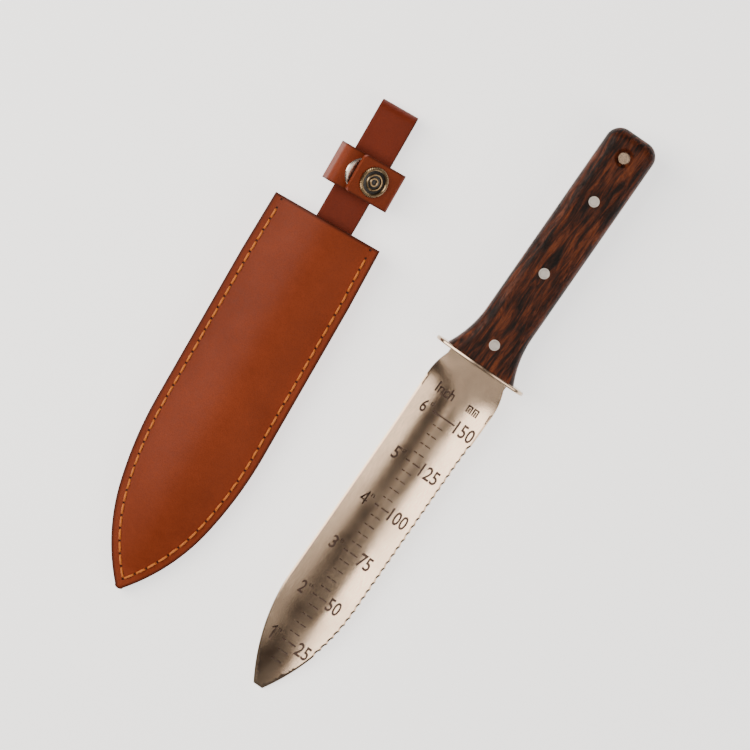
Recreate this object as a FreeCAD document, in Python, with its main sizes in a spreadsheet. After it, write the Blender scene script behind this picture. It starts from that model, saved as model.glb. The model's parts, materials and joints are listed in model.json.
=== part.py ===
import FreeCAD, Part
import math
import os
import re
import Sketcher
from FreeCAD import Placement, Rotation, Vector

# Hori hori garden knife with its leather belt sheath, laid side by side on a flat surface.
# Millimetres and degrees. +Z is up and +Y runs from the knife's tip to its butt.

sizes = {
    # blade and tang, one steel plate
    "plate_thickness": 2.6,
    "blade_length": 179,          # middle of the guard to the tip
    "blade_half": 17.5,
    "tip_half": 2.4,
    "point_start": 125,           # where the edges begin to curve in
    "shoulder_swell": 0.5,        # the blade's shoulders stand this much wider on each side
    "shoulder_place": 15,
    "widening_place": 45,         # where the blade begins to widen to its shoulders
    "neck_half": 15.5,
    "neck_length": 3.5,
    "dish_radius": 60,            # hollow of the blade, across its width
    "dish_end": 22,
    "dish_fade": 5,
    "tooth_first": 33,
    "tooth_pitch": 4,
    "tooth_radius": 3.4,
    "tooth_depth": 0.65,
    "tooth_count": 23,
    "tang_inset": 0.3,
    # guard
    "guard_half": 23.7,
    "guard_half_height": 12.2,
    "guard_end_radius": 9,
    "guard_thickness": 1.8,
    "slot_clearance": 0.15,
    # handle
    "handle_length": 126.5,       # middle of the guard to the butt
    "grip_half": 12.5,
    "flare_length": 24,
    "flare_radius": 51,
    "butt_radius": 7,
    "scale_thickness": 8.7,
    "scale_rounding": 5.2,
    "pin_radius": 2.5,
    "pin_dimple": 0.2,
    "pin_front": 11.7,
    "pin_rear_from_butt": 35.7,
    "lanyard_from_butt": 11.8,
    "lanyard_radius": 2.75,
    "lanyard_sink": 1.75,
    # sheath
    "leather": 2.4,
    "welt_thickness": 2.5,
    "sheath_margin": 9,           # leather beside the hollow, for the seam
    "mouth_inset": 0.7,
    "mouth_taper": 30,
    "side_lead": 17,              # the sides begin to curve in this far before the blade's point
    "waist_share": 0.778,         # length of the first, gentle curve, as a share of the point's length
    "waist_drop": 4.7,            # how far the side comes in over that curve
    "sheath_tip_radius": 3,
    "tip_share": 0.2315,          # leather past the hollow, as a share of the blade point's length
    "blade_clearance": 1,
    "end_clearance": 2,
    "crown_height": 4.6,
    "crown_spread": 4.2,
    # thread
    "stitch_inset": 4,
    "stitch_start": 6,
    "stitch_pitch": 5.95,
    "stitch_gap": 1.2,
    "thread_width": 1.1,
    "thread_height": 0.5,
    "back_thread_height": 0.3,    # pulled flatter where the sheath rests on it
    # belt strap, folded into a loop
    "strap_centre": 3,
    "strap_half": 9.25,
    "strap_leather": 2,
    "strap_reach": 61.5,
    "strap_sewn": 30,
    "belt_gap": 5.6,
    "sewn_end": 4,                # where the two legs part, below the mouth
    "gap_slope": 10,              # length of the lower leg's slope
    "slope_shift": 1,
    # keeper strap round the grip, with its press stud
    "keeper_place": 26,
    "keeper_width": 19,
    "keeper_left": 12.6,          # strap centre to the left fold's axis
    "keeper_right": 14.6,
    "fold_radius": 3,
    "fold_clearance": 0.3,
    "fold_inner": 1.17,           # fold's axis to the near face of a flap
    "flap_slope": 30,
    "wall_slope": 75,
    "socket_flap_length": 18.6,
    "cap_flap_length": 16.6,
    "flap_gap": 2.2,              # between the two flaps, for the snap's parts
    "cap_bend_radius": 1.5,
    "flap_rounding": 1.5,
    "snap_place": 8.4,            # along the socket flap, from the fold's axis
    "cap_place": 8.2,             # along the cap flap's top, from its bend
    "snap_hole": 1.8,
    "socket_radius": 7.3,
    "socket_height": 1.5,
    "socket_wall": 1.6,
    "socket_floor": 0.4,
    "spring_radius": 4,
    "spring_wall": 0.9,
    "post_flange": 4.2,
    "post_thickness": 0.5,
    "post_bore": 1.3,
    "cap_radius": 7.5,
    "cap_thickness": 1,
    "stud_radius": 2.8,
    "stud_length": 2.4,
    "rivet_radius": 1.6,
    "rivet_head": 4,
    "rivet_head_height": 0.9,
    # how the two lie
    "sheath_turn": 4.8,
    "sheath_across": 94.4,        # knife's centre line to the sheath's mouth
    "sheath_along": 14.6,
}

os.makedirs("parts", exist_ok=True)
doc = FreeCAD.newDocument("HoriHori")
sheet = doc.addObject("Spreadsheet::Sheet", "Sizes")
for row, (alias, number) in enumerate(sizes.items(), start=1):
    sheet.set(f"A{row}", alias)
    sheet.set(f"B{row}", str(number))
    sheet.setAlias(f"B{row}", alias)
doc.recompute()


# sizes that follow from others
worked_out = {
    "shoulder_half": "(blade_half + shoulder_swell)",
    "pin_rear": "(handle_length - pin_rear_from_butt)",
    "pin_middle": "((pin_front + handle_length - pin_rear_from_butt) / 2)",
    "lanyard_place": "(handle_length - lanyard_from_butt)",
    "pocket_half": "(blade_half + shoulder_swell + blade_clearance)",
    "pocket_depth": "(blade_length + end_clearance)",
    "sheath_half": "(blade_half + shoulder_swell + blade_clearance + sheath_margin)",
    "mouth_half": "(blade_half + shoulder_swell + blade_clearance + sheath_margin - mouth_inset)",
    "sheath_shoulder": "(point_start - side_lead)",
    "sheath_waist": "((blade_length - point_start) * waist_share)",
    "side_radius": "((((blade_length - point_start) * waist_share)^2 + waist_drop^2) / (2 * waist_drop))",
    "sheath_length": "(blade_length + end_clearance + (blade_length - point_start) * tip_share)",
}


def linked(formula):
    """The formula with each worked-out size and each of the sheet's names written in full."""
    plain = re.sub("[a-z_]+", lambda word: worked_out.get(word[0], word[0]), formula)
    return re.sub("[a-z_]+", lambda word: "Sizes." + word[0] if word[0] in sizes else word[0], plain)


def value(formula):
    """The number that a formula on the sheet's names comes to."""
    return float(sheet.evalExpression(linked(formula)))


def bind(thing, name, formula):
    thing.setExpression(name, linked(formula))


# ---- sketches and features ----

def new_body(label):
    body = doc.addObject("PartDesign::Body", label)
    body.Label = label
    return body


def new_sketch(body, name, plane, lift="0"):
    """A sketch on one of the body's own planes, moved along the plane's normal by lift."""
    sketch = body.newObject("Sketcher::SketchObject", name)
    support = next(item for item in body.Origin.OriginFeatures if item.Role == plane)
    sketch.AttachmentSupport = [(support, "")]
    sketch.MapMode = "FlatFace"
    bind(sketch, "AttachmentOffset.Base.z", lift)
    return sketch


def pin_down(sketch, curve, point, across, along):
    """Holds a point of a curve at its place from the sketch's origin."""
    for kind, formula in (("DistanceX", across), ("DistanceY", along)):
        number = sketch.addConstraint(Sketcher.Constraint(kind, -1, 1, curve, point, value(formula)))
        bind(sketch, f"Constraints[{number}]", formula)


def add_loop(sketch, corners):
    """A closed loop. A corner is (x, y), or (x, y, radius) where an arc leads on to the next corner:
    it turns left with a positive radius and right with a negative one."""
    first = sketch.GeometryCount
    places = [Vector(value(corner[0]), value(corner[1]), 0) for corner in corners]
    ends = []
    for number, corner in enumerate(corners):
        here = places[number]
        there = places[(number + 1) % len(corners)]
        if len(corner) == 2:
            sketch.addGeometry(Part.LineSegment(here, there))
            ends.append((1, 2))
            continue
        radius = value(corner[2])
        chord = there - here
        left = Vector(-chord.y, chord.x, 0).normalize()
        reach = math.sqrt(max(radius ** 2 - (chord.Length / 2) ** 2, 0))
        centre = (here + there) / 2 + left * math.copysign(reach, radius)
        angles = [math.atan2(point.y - centre.y, point.x - centre.x) for point in (here, there)]
        if radius < 0:
            angles.reverse()
        circle = Part.Circle(centre, Vector(0, 0, 1), abs(radius))
        curve = sketch.addGeometry(Part.ArcOfCircle(circle, angles[0], angles[1]))
        ends.append((1, 2) if radius > 0 else (2, 1))
        limit = sketch.addConstraint(Sketcher.Constraint("Radius", curve, abs(radius)))
        bind(sketch, f"Constraints[{limit}]", f"abs({corner[2]})")
    for number, corner in enumerate(corners):
        after = (number + 1) % len(corners)
        joint = (first + number, ends[number][1], first + after, ends[after][0])
        sketch.addConstraint(Sketcher.Constraint("Coincident", *joint))
        pin_down(sketch, first + number, ends[number][0], corner[0], corner[1])


def add_circle(sketch, across, along, radius):
    circle = Part.Circle(Vector(value(across), value(along), 0), Vector(0, 0, 1), value(radius))
    curve = sketch.addGeometry(circle)
    number = sketch.addConstraint(Sketcher.Constraint("Radius", curve, value(radius)))
    bind(sketch, f"Constraints[{number}]", radius)
    pin_down(sketch, curve, 3, across, along)


def pad(body, name, sketch, length, backward=False):
    feature = body.newObject("PartDesign::Pad", name)
    feature.Profile = sketch
    bind(feature, "Length", length)
    feature.Reversed = backward
    return feature


def cut_down(body, name, sketch):
    """Cuts right through, from the sketch's side against its normal."""
    feature = body.newObject("PartDesign::Pocket", name)
    feature.Profile = sketch
    feature.Type = "ThroughAll"
    return feature


def loft(body, kind, name, sections):
    feature = body.newObject("PartDesign::" + kind, name)
    feature.Profile = sections[0]
    feature.Sections = sections[1:]
    feature.Ruled = True
    return feature


def mirrored(corners):
    """The corners of one side, from the lowest up, and then the other side's back down."""
    far_side = []
    for number in range(len(corners) - 1, -1, -1):
        across, along = corners[number][:2]
        radius = corners[number - 1][2:] if number else ()
        far_side.append((f"-({across})", along) + radius)
    return corners + far_side


def edge_names(body, wanted):
    """Names of the body's edges whose every end, and the edge, pass the test."""
    shape = body.Shape
    return [f"Edge{number}" for number, edge in enumerate(shape.Edges, start=1) if wanted(edge)]


def dress(body, kind, name, wanted, size):
    """A Fillet or a Chamfer on the edges that pass the test."""
    doc.recompute()
    tip = body.Tip
    names = edge_names(body, wanted)
    feature = body.newObject("PartDesign::" + kind, name)
    feature.Base = (tip, names)
    bind(feature, "Radius" if kind == "Fillet" else "Size", size)
    return feature


def turned(body, name, corners):
    """A solid turned about the body's Z axis from a closed loop of (radius, height) corners."""
    sketch = new_sketch(body, name + "Profile", "XZ_Plane")
    add_loop(sketch, corners)
    feature = body.newObject("PartDesign::Revolution", name)
    feature.Profile = sketch
    feature.ReferenceAxis = (sketch, ["V_Axis"])
    feature.Angle = 360
    return feature


# ---- the outlines that more than one piece follows ----

point_radius = ("((blade_half - tip_half)^2 + (blade_length - point_start)^2)"
                " / (2 * (blade_half - tip_half))")


def pocket_half_at(along):
    """Half the sheath's hollow, at a depth below its mouth in the curved part of the point."""
    reach = f"({point_radius} + blade_clearance)"
    return f"(pocket_half - {reach} + sqrt({reach}^2 - ({along} - point_start)^2))"


def flare_at(half, inset):
    """How far along the handle its flare has come down to a half width."""
    reach = f"(flare_radius + {inset})"
    return f"(flare_length - sqrt({reach}^2 - (grip_half + flare_radius - {half})^2))"


def handle_side(inset, start):
    """The handle's right side, from a start below the flare to the butt."""
    return [
        (*start, f"-(flare_radius + {inset})"),
        (f"grip_half - {inset}", "flare_length"),
        (f"grip_half - {inset}", "handle_length - butt_radius", f"butt_radius - {inset}"),
        ("grip_half - butt_radius", f"handle_length - {inset}"),
    ]


# the sheath's curved side: a gentle arc down from the straight side, then a tighter one to the tip
waist = ("sheath_half - waist_drop", "-(sheath_shoulder + sheath_waist)")
tip_corner = ("sheath_tip_radius * 0.7", "-(sheath_length - sheath_tip_radius * 0.45)")
run_across = "(sheath_half - waist_drop - sheath_tip_radius * 0.7)"
run_along = "(sheath_length - sheath_tip_radius * 0.45 - sheath_shoulder - sheath_waist)"
lean = "(sheath_waist / side_radius)"
point_side_radius = (f"(({run_across}^2 + {run_along}^2)"
                     f" / (2 * ({run_across} * sqrt(1 - {lean}^2) - {run_along} * {lean})))")
sheath_side = [
    (*tip_corner, point_side_radius),
    (*waist, "side_radius"),
    ("sheath_half", "-sheath_shoulder"),
    ("sheath_half", "-mouth_taper"),
    ("mouth_half", "0"),
]


def closed_sheath():
    corners = mirrored(sheath_side)
    corners[-1] = corners[-1][:2] + ("sheath_tip_radius",)
    return corners


# ---- knife ----

def make_blade():
    body = new_body("blade")
    blank_half = "(shoulder_half + 3)"
    centre = "(dish_radius + plate_thickness / 2)"
    back_radius = "(dish_radius + plate_thickness)"
    low = f"{centre} - sqrt({back_radius}^2 - {blank_half}^2)"
    high = f"{centre} - sqrt(dish_radius^2 - {blank_half}^2)"
    dished = [(f"-{blank_half}", low, back_radius), (blank_half, low),
              (blank_half, high, "-dish_radius"), (f"-{blank_half}", high)]
    flat = [(f"-{blank_half}", "-plate_thickness / 2"), (blank_half, "-plate_thickness / 2"),
            (blank_half, "plate_thickness / 2"), (f"-{blank_half}", "plate_thickness / 2")]
    section = new_sketch(body, "DishSection", "XZ_Plane", "dish_end")
    add_loop(section, dished)
    pad(body, "DishedPlate", section, "blade_length + 2 - dish_end")
    fade = new_sketch(body, "FadeSection", "XZ_Plane", "dish_fade")
    add_loop(fade, flat)
    loft(body, "AdditiveLoft", "DishFade", [section, fade])
    tang = new_sketch(body, "TangSection", "XZ_Plane", "dish_fade")
    add_loop(tang, flat)
    pad(body, "TangPlate", tang, "handle_length + dish_fade + 2", backward=True)

    # everything outside the outline is cut away
    side = [
        ("tip_half", "-blade_length", point_radius),
        ("blade_half", "-point_start"),
        ("blade_half", "-widening_place"),
        ("shoulder_half", "-shoulder_place",
         "-(((shoulder_half - neck_half)^2 + (shoulder_place - neck_length)^2)"
         " / (2 * (shoulder_half - neck_half)))"),
        ("neck_half", "-neck_length"),
    ] + handle_side("tang_inset", ("neck_half", flare_at("neck_half", "tang_inset")))
    outline = new_sketch(body, "Outline", "XY_Plane", "dish_radius")
    margin = "(shoulder_half + 6)"
    add_loop(outline, [(f"-{margin}", "-(blade_length + 8)"), (margin, "-(blade_length + 8)"),
                       (margin, "handle_length + 8"), (f"-{margin}", "handle_length + 8")])
    add_loop(outline, mirrored(side))
    cut_down(body, "OutlineCut", outline)

    holes = new_sketch(body, "Holes", "XY_Plane", "plate_thickness")
    for place in ("pin_front", "pin_middle", "pin_rear"):
        add_circle(holes, "0", place, "pin_radius")
    add_circle(holes, "0", "lanyard_place", "lanyard_radius")
    cut_down(body, "HolesCut", holes)

    tooth = new_sketch(body, "Tooth", "XY_Plane", "dish_radius")
    across = "blade_half + tooth_radius - tooth_depth"
    add_circle(tooth, across, "-tooth_first - tooth_pitch", "tooth_radius")
    gullet = cut_down(body, "ToothCut", tooth)
    row = body.newObject("PartDesign::LinearPattern", "TeethRow")
    row.Originals = [gullet]
    row.Direction = (tooth, ["V_Axis"])
    row.Reversed = True
    bind(row, "Length", "tooth_pitch * (tooth_count - 1)")
    bind(row, "Occurrences", "tooth_count")
    body.Tip = row
    return body


def make_guard():
    body = new_body("guard")
    rise = "(guard_half_height - guard_end_radius)"
    run = "(guard_half - guard_end_radius)"
    below = f"(({run}^2 - {rise}^2) / (2 * {rise}))"
    long_radius = f"({below} + guard_half_height)"
    across = f"({long_radius} * {run} / ({long_radius} - guard_end_radius))"
    along = f"({long_radius} * {below} / ({long_radius} - guard_end_radius) - {below})"
    oval = new_sketch(body, "Oval", "XZ_Plane", "-guard_thickness / 2")
    add_loop(oval, [(across, f"-{along}", "guard_end_radius"), (across, along, long_radius),
                    (f"-{across}", along, "guard_end_radius"), (f"-{across}", f"-{along}", long_radius)])
    wide = "(neck_half + slot_clearance)"
    tall = "(plate_thickness / 2 + slot_clearance)"
    add_loop(oval, [(f"-{wide}", f"-{tall}"), (wide, f"-{tall}"), (wide, tall), (f"-{wide}", tall)])
    pad(body, "OvalPlate", oval, "guard_thickness")
    return body


def make_scale(label):
    """One wooden scale, lying on the plane of its inner face."""
    body = new_body(label)
    start = "guard_thickness / 2"
    wide = f"(grip_half + flare_radius - sqrt(flare_radius^2 - (flare_length - {start})^2))"
    outline = new_sketch(body, "ScaleOutline", "XY_Plane")
    add_loop(outline, mirrored(handle_side("0", (wide, start))))
    pad(body, "ScaleBlock", outline, "scale_thickness")
    top = value("scale_thickness")
    guard_end = value(start)
    dress(body, "Fillet", "ScaleRounding",
          lambda edge: edge.BoundBox.ZMin > top - 0.01 and edge.BoundBox.YMax > guard_end + 0.01,
          "scale_rounding")
    holes = new_sketch(body, "ScaleHoles", "XY_Plane", "scale_thickness")
    for place in ("pin_front", "pin_middle", "pin_rear"):
        add_circle(holes, "0", place, "pin_radius")
    add_circle(holes, "0", "lanyard_place", "lanyard_radius")
    cut_down(body, "ScaleHolesCut", holes)
    hole_place = value("lanyard_place")
    hole_radius = value("lanyard_radius")
    dress(body, "Chamfer", "LanyardSink",
          lambda edge: (edge.BoundBox.ZMin > top - 0.01 and isinstance(edge.Curve, Part.Circle)
                        and abs(edge.Curve.Center.y - hole_place) < 0.01
                        and abs(edge.Curve.Radius - hole_radius) < 0.01),
          "lanyard_sink")
    return body


def make_pin(label):
    """A flush pin through both scales and the tang, hollowed a little at each face."""
    body = new_body(label)
    half = "(scale_thickness + plate_thickness / 2)"
    turned(body, "Pin", [("0", f"-{half} + pin_dimple"), ("pin_radius * 0.66", f"-{half} + pin_dimple"),
                         ("pin_radius * 0.76", f"-{half}"), ("pin_radius", f"-{half}"),
                         ("pin_radius", half), ("pin_radius * 0.76", half),
                         ("pin_radius * 0.66", f"{half} - pin_dimple"), ("0", f"{half} - pin_dimple")])
    return body


# ---- sheath ----

def make_back_panel():
    body = new_body("back_panel")
    outline = new_sketch(body, "BackOutline", "XY_Plane")
    add_loop(outline, closed_sheath())
    pad(body, "BackLeather", outline, "leather")
    return body


def make_welt():
    """The spacer strip between the panels, open at the mouth."""
    body = new_body("welt")
    reach = f"({point_radius} + blade_clearance)"
    end_half = pocket_half_at("pocket_depth")
    outer = mirrored(sheath_side)[len(sheath_side):] + sheath_side
    outer[len(sheath_side) - 1] = outer[len(sheath_side) - 1][:2] + ("sheath_tip_radius",)
    inner = [("pocket_half", "0"), ("pocket_half", "-point_start", f"-{reach}"),
             (end_half, "-pocket_depth"), (f"-{end_half}", "-pocket_depth", f"-{reach}"),
             ("-pocket_half", "-point_start"), ("-pocket_half", "0")]
    strip = new_sketch(body, "WeltOutline", "XY_Plane", "leather")
    add_loop(strip, outer + inner)
    pad(body, "WeltStrip", strip, "welt_thickness")
    return body


def crown_sections(body, name, spread, lift, mouth):
    """Arched sections of the sheath's front, from the mouth to the end of the hollow."""
    floor = "leather + welt_thickness"
    stations = [(mouth, "pocket_half"), ("point_start", "pocket_half")]
    for share in ("0.45", "0.8", "1"):
        depth = f"(point_start + (pocket_depth - point_start) * {share})"
        stations.append((depth, pocket_half_at(depth)))
    sections = []
    for number, (depth, half) in enumerate(stations):
        wide = f"({half} + {spread})"
        tall = f"(crown_height * {half} / pocket_half + {lift})"
        sketch = new_sketch(body, f"{name}{number}", "XZ_Plane", depth)
        add_loop(sketch, [(f"-{wide}", floor), (wide, floor, f"({wide}^2 + {tall}^2) / (2 * {tall})")])
        sections.append(sketch)
    return sections


def make_front_panel():
    body = new_body("front_panel")
    outline = new_sketch(body, "FrontOutline", "XY_Plane", "leather + welt_thickness")
    add_loop(outline, closed_sheath())
    pad(body, "FrontLeather", outline, "leather")
    crown = crown_sections(body, "CrownSection", "crown_spread", "leather", "0")
    loft(body, "AdditiveLoft", "Crown", crown)
    hollow = crown_sections(body, "HollowSection", "0", "0", "-1")
    loft(body, "SubtractiveLoft", "Hollow", hollow)
    return body


def make_belt_strap():
    """One strap folded back on itself: its upper leg lies under the back panel, and both legs are
    sewn together there; past the mouth they part to let a belt through."""
    body = new_body("belt_strap")
    under = "(strap_leather * 2 + belt_gap)"
    bend = f"({under} / 2)"
    inner_bend = "(belt_gap / 2)"
    side = new_sketch(body, "StrapSide", "YZ_Plane", "strap_centre - strap_half")
    add_loop(side, [
        ("-strap_sewn", "0"), ("-strap_sewn", "-2 * strap_leather"),
        ("-sewn_end", "-2 * strap_leather"), ("gap_slope - sewn_end", f"-{under}"),
        (f"strap_reach - {bend}", f"-{under}", bend), ("strap_reach", f"-{bend}", bend),
        (f"strap_reach - {bend}", "0")])
    add_loop(side, [
        ("slope_shift - sewn_end", "-strap_leather"),
        ("slope_shift - sewn_end + gap_slope", "-(strap_leather + belt_gap)"),
        (f"strap_reach - {bend}", "-(strap_leather + belt_gap)", inner_bend),
        (f"strap_reach - {bend} + {inner_bend}", f"-{bend}", inner_bend),
        (f"strap_reach - {bend}", "-strap_leather")])
    pad(body, "StrapLeather", side, "strap_half * 2")
    hole = new_sketch(body, "StrapHole", "XY_Plane", "1")
    add_circle(hole, "strap_centre", "keeper_place", "rivet_radius")
    feature = body.newObject("PartDesign::Pocket", "StrapHoleCut")
    feature.Profile = hole
    bind(feature, "Length", "strap_leather + 2")
    return body


def make_keeper_base():
    """The keeper's middle, on the belt strap, with a rolled fold at each end."""
    body = new_body("keeper_base")
    back = "-(keeper_place + keeper_width / 2)"
    left = "(strap_centre - keeper_left)"
    right = "(strap_centre + keeper_right)"
    plate = new_sketch(body, "KeeperPlate", "XZ_Plane", back)
    add_loop(plate, [(left, "0"), (right, "0"), (right, "strap_leather"), (left, "strap_leather")])
    pad(body, "KeeperLeather", plate, "keeper_width")
    folds = new_sketch(body, "KeeperFolds", "XZ_Plane", back)
    add_circle(folds, left, "fold_radius", "fold_radius")
    add_circle(folds, right, "fold_radius", "fold_radius")
    pad(body, "KeeperRolls", folds, "keeper_width")
    hole = new_sketch(body, "KeeperHole", "XY_Plane", "strap_leather")
    add_circle(hole, "strap_centre", "keeper_place", "rivet_radius")
    cut_down(body, "KeeperHoleCut", hole)
    return body


def flap_start():
    """Distance along a flap at which it clears the fold's roll."""
    return "sqrt((fold_radius + fold_clearance)^2 - fold_inner^2)"


def make_socket_flap():
    """Straight flap, with its fold's axis as the body's Y axis and the flap along +X."""
    body = new_body("keeper_socket_flap")
    end = f"({flap_start()} + socket_flap_length)"
    half = "(keeper_width / 2)"
    corner = "flap_rounding"
    outline = new_sketch(body, "FlapOutline", "XY_Plane", "fold_inner")
    add_loop(outline, [
        (flap_start(), f"-{half}"), (f"{end} - {corner}", f"-{half}", corner), (end, f"-{half} + {corner}"),
        (end, f"{half} - {corner}", corner), (f"{end} - {corner}", half), (flap_start(), half)])
    add_circle(outline, f"{flap_start()} + snap_place", "0", "snap_hole")
    pad(body, "FlapLeather", outline, "strap_leather")
    return body


# how far the cap flap's wall runs from its fold, so that its top lies flap_gap under the other flap
turn_angle = "(wall_slope + flap_slope)"
cap_wall_end = ("(((keeper_left + keeper_right) * sin(flap_slope) + fold_inner - flap_gap"
                " - cap_bend_radius - strap_leather"
                f" - (fold_inner - cap_bend_radius) * cos{turn_angle}) / sin{turn_angle})")


def cap_flap_frame():
    """Where the cap flap's top leaves its bend, from the fold's axis, and the way it runs."""
    rise = Vector(value("cos(wall_slope)"), 0, value("sin(wall_slope)"))
    outward = Vector(-rise.z, 0, rise.x)
    bend_centre = rise * value(cap_wall_end)
    bend_centre += outward * (value("fold_inner") - value("cap_bend_radius"))
    top_run = Vector(value("cos(flap_slope)"), 0, -value("sin(flap_slope)"))
    top_up = Vector(-top_run.z, 0, top_run.x)
    return bend_centre + top_up * value("cap_bend_radius"), Rotation(Vector(0, 1, 0), value("flap_slope"))


def make_cap_flap():
    """Flap with a wall, a bend and a sloping top, with its fold's axis as the body's Y axis."""
    body = new_body("keeper_cap_flap")
    cosine, sine = "cos(wall_slope)", "sin(wall_slope)"
    top_cosine, top_sine = "cos(flap_slope)", "sin(flap_slope)"
    middle = (f"({cap_wall_end} * {cosine} - (fold_inner - cap_bend_radius) * {sine})",
              f"({cap_wall_end} * {sine} + (fold_inner - cap_bend_radius) * {cosine})")

    def wall_point(along, out):
        return (f"{along} * {cosine} - ({out}) * {sine}", f"{along} * {sine} + ({out}) * {cosine}")

    def top_point(along, out):
        return (f"{middle[0]} + ({along}) * {top_cosine} + ({out}) * {top_sine}",
                f"{middle[1]} - ({along}) * {top_sine} + ({out}) * {top_cosine}")

    near = "cap_bend_radius"
    far = "(cap_bend_radius + strap_leather)"
    side = new_sketch(body, "CapFlapSide", "XZ_Plane", "-keeper_width / 2")
    add_loop(side, [
        wall_point(flap_start(), "fold_inner"),
        (*wall_point(cap_wall_end, "fold_inner"), f"-{near}"),
        top_point("0", near), top_point("cap_flap_length", near),
        top_point("cap_flap_length", far), (*top_point("0", far), far),
        wall_point(cap_wall_end, "fold_inner + strap_leather"),
        wall_point(flap_start(), "fold_inner + strap_leather")])
    pad(body, "CapFlapLeather", side, "keeper_width")
    return body


def make_cap_flap_drilled():
    """The cap flap with the hole for its press stud, square to the sloping top."""
    leather = make_cap_flap()
    leather.Label = "CapFlapBlank"
    drill = doc.addObject("Part::Cylinder", "CapFlapDrill")
    bind(drill, "Radius", "snap_hole")
    bind(drill, "Height", "strap_leather + 2")
    corner, turn = cap_flap_frame()
    drill.Placement = Placement(corner, turn) * Placement(Vector(value("cap_place"), 0, -1), Rotation())
    flap = doc.addObject("Part::Cut", "KeeperCapFlap")
    flap.Base = leather
    flap.Tool = drill
    flap.Label = "keeper_cap_flap"
    return flap


# ---- press stud ----

def make_snap_socket():
    """Ring with a rolled rim and a raised middle, on the flap's upper face at height 0."""
    body = new_body("snap_socket")
    rim_in = "(socket_radius - socket_wall)"
    turned(body, "Socket", [
        ("post_bore", "0"), ("socket_radius - 0.3", "0"), ("socket_radius", "0.3"),
        ("socket_radius", "socket_height - 0.5"), ("socket_radius - 0.5", "socket_height"),
        (f"{rim_in} + 0.2", "socket_height"), (rim_in, "socket_height - 0.3"), (rim_in, "socket_floor"),
        ("post_bore", "socket_floor")])
    return body


def make_snap_spring():
    """The sprung ring that grips the stud, in the socket."""
    body = new_body("snap_spring")
    inner = "(spring_radius - spring_wall)"
    turned(body, "Spring", [
        (inner, "socket_floor"), ("spring_radius", "socket_floor"), ("spring_radius", "socket_height - 0.4"),
        ("spring_radius - 0.3", "socket_height - 0.1"), (f"{inner} + 0.2", "socket_height - 0.1"),
        (inner, "socket_height - 0.4")])
    return body


def make_snap_post():
    """Eyelet that holds the socket: a flange under the flap and a tube up through it."""
    body = new_body("snap_post")
    under = "-strap_leather"
    turned(body, "Post", [
        ("post_bore", f"{under} - post_thickness"), ("post_flange - 0.2", f"{under} - post_thickness"),
        ("post_flange", under), ("snap_hole", under), ("snap_hole", "0"), ("post_bore", "0")])
    return body


def make_snap_cap():
    """Plain pressed cap on the cap flap's upper face, with its shank down through the leather."""
    body = new_body("snap_cap")
    turned(body, "Cap", [
        ("0", "-strap_leather"), ("snap_hole", "-strap_leather"), ("snap_hole", "0"),
        ("cap_radius - 0.2", "0"), ("cap_radius", "0.3"), ("cap_radius - 0.4", "cap_thickness - 0.2"),
        ("cap_radius - 1.2", "cap_thickness"), ("0", "cap_thickness")])
    return body


def make_snap_stud():
    """The stud under the cap flap that presses into the socket."""
    body = new_body("snap_stud")
    under = "-strap_leather"
    neck = "(stud_radius - 0.5)"
    turned(body, "Stud", [
        ("0", under), ("post_flange", under), ("post_flange", f"{under} - post_thickness"),
        (neck, f"{under} - post_thickness"), (neck, f"{under} - stud_length * 0.5"),
        ("stud_radius", f"{under} - stud_length * 0.75"), ("stud_radius - 0.4", f"{under} - stud_length"),
        ("0", f"{under} - stud_length")])
    return body


def make_keeper_rivet():
    """Rivet that holds the keeper to the belt strap's upper leg."""
    body = new_body("keeper_rivet")
    turned(body, "Rivet", [
        ("0", "-(strap_leather + post_thickness)"), ("rivet_head - 1", "-(strap_leather + post_thickness)"),
        ("rivet_head - 1", "-strap_leather"), ("rivet_radius", "-strap_leather"),
        ("rivet_radius", "strap_leather"), ("rivet_head", "strap_leather"),
        ("rivet_head", "strap_leather + rivet_head_height * 0.4"),
        ("rivet_head - 1", "strap_leather + rivet_head_height"), ("0", "strap_leather + rivet_head_height")])
    return body


# ---- thread ----

def seam_line():
    """The right-hand seam, from below the mouth to the point where both seams meet."""
    inset = value("stitch_inset")
    centre = Vector(value("sheath_half - side_radius"), value("-sheath_shoulder"), 0)
    bend = Vector(value(waist[0]), value(waist[1]), 0)
    gentle = value("side_radius") - inset
    inward = (centre - bend).normalize()
    tight = value(point_side_radius)
    tip_centre = bend + inward * tight
    seam_bend = bend + inward * inset
    reach = tight - inset
    tip = Vector(0, tip_centre.y - math.sqrt(reach ** 2 - tip_centre.x ** 2), 0)
    top = Vector(value("mouth_half") - inset, -value("stitch_start"), 0)
    side = Vector(value("sheath_half") - inset, -value("mouth_taper"), 0)
    shoulder = Vector(side.x, centre.y, 0)

    def halfway(first, last, middle, radius):
        return middle + ((first + last) / 2 - middle).normalize() * radius

    edges = [Part.LineSegment(top, side), Part.LineSegment(side, shoulder),
             Part.Arc(shoulder, halfway(shoulder, seam_bend, centre, gentle), seam_bend),
             Part.Arc(seam_bend, halfway(seam_bend, tip, tip_centre, reach), tip)]
    return Part.Wire([edge.toShape() for edge in edges])


def stitch(first, last, level, height, up):
    """One bar of thread between two holes, flat on the leather and rounded on its outer side."""
    run = last - first
    width = value("thread_width")
    length = run.Length - value("stitch_gap")
    radius = (width ** 2 / 4 + height ** 2) / (2 * height)
    start = (first + last) / 2 - run * (length / 2 / run.Length)
    bar = Part.makeCylinder(radius, length, Vector(0, 0, height - radius), Vector(1, 0, 0))
    bar = bar.common(Part.makeBox(length, width, height, Vector(0, -width / 2, 0)))
    turn = Rotation(Vector(1, 0, 0), run)
    flip = Rotation() if up else Rotation(Vector(1, 0, 0), 180)
    bar.Placement = Placement(Vector(start.x, start.y, level), turn * flip)
    return bar


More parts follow.
